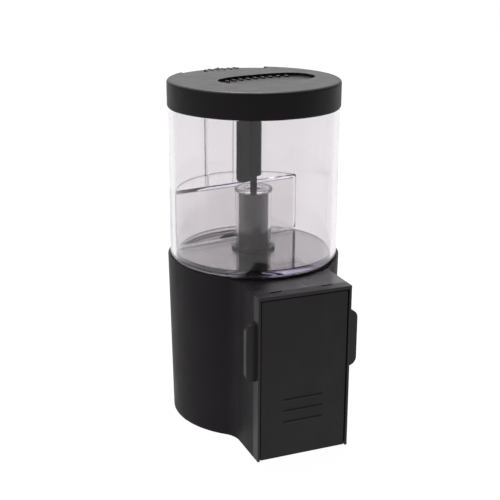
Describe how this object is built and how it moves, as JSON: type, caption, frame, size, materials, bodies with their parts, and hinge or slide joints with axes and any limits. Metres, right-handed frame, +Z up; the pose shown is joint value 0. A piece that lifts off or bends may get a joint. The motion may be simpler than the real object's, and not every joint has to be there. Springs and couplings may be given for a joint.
{
  "type": "automatic fish feeder",
  "caption": "Automatic fish feeder: clear food hopper with a lid over a motor-driven dosing disc, on a round base with a battery box at the front.",
  "frame": {"origin": "centre of the underside, below the hopper's axis", "axes": "+Z up along the hopper's axis, battery box towards -Y, food outlet towards +Y"},
  "size_m": [0.0768, 0.0941, 0.1516],
  "materials": {
    "black_shell": "fine moulded texture",
    "black_cover": "fine moulded texture",
    "black_lid": "satin",
    "spindle_grey": "satin",
    "clear_plastic": "polished, transparent",
    "grey_plastic": "moulded",
    "gear_plastic": "moulded",
    "steel": "plated",
    "brass": "turned",
    "cell_wrap": "printed wrap",
    "board_green": "solder mask",
    "light_pipe": "tinted",
    "seal_rubber": "soft"
  },
  "bodies": {
    "base": {"base_housing": "black_shell", "bottom_cover": "black_shell", "cover_screws": "steel", "battery_frame": "black_shell", "battery_tray": "black_shell", "battery_cells": "cell_wrap", "contact_plates": "steel", "contact_springs": "steel", "circuit_board": "board_green", "tact_switch": "black_shell", "status_led": "light_pipe", "motor": "steel", "motor_screws": "steel", "lower_gear_plate": "grey_plastic", "upper_gear_plate": "grey_plastic", "plate_spacers": "gear_plastic", "plate_screws": "steel", "gear_axle": "steel", "shaft_bushings": "brass", "outlet_chute": "black_shell", "hopper": "clear_plastic", "hopper_seal": "seal_rubber"},
    "rotor": {"dosing_disc": "clear_plastic", "spindle": "spindle_grey", "spindle_sleeve": "clear_plastic", "stirrer": "black_shell", "drive_shaft": "steel", "output_gear": "gear_plastic", "shaft_clip": "steel"},
    "compound": {"compound_gear": "gear_plastic"},
    "motor_rotor": {"motor_shaft": "steel", "motor_pinion": "gear_plastic"},
    "lid": {"lid": "black_lid", "lid_seal": "seal_rubber"},
    "battery_door": {"battery_cover": "black_cover"},
    "button": {"feed_button": "grey_plastic"}
  },
  "joints": [
    {"name": "rotor_spin", "type": "hinge", "parent": "base", "child": "rotor", "pos_m": [0, 0, 0.074], "axis": [0, 0, 1], "continuous": true},
    {"name": "compound_spin", "type": "hinge", "parent": "base", "child": "compound", "pos_m": [-0.01879, -0.00684, 0.055], "axis": [0, 0, 1], "continuous": true},
    {"name": "motor_spin", "type": "hinge", "parent": "base", "child": "motor_rotor", "pos_m": [-0.00592, -0.01764, 0.05], "axis": [0, 0, 1], "continuous": true},
    {"name": "lid_lift", "type": "slide", "parent": "base", "child": "lid", "axis": [0, 0, 1], "range_m": [0, 0.06]},
    {"name": "door_slide", "type": "slide", "parent": "base", "child": "battery_door", "axis": [0, 0, -1], "range_m": [0, 0.072]},
    {"name": "button_press", "type": "slide", "parent": "base", "child": "button", "axis": [-1, 0, 0], "range_m": [0, 0.0009], "stiffness_N_per_m": 400}
  ],
  "couplings": [
    {"joint": "compound_spin", "follows": "rotor_spin", "ratio": -3.1667},
    {"joint": "motor_spin", "follows": "rotor_spin", "ratio": 7.9167}
  ]
}
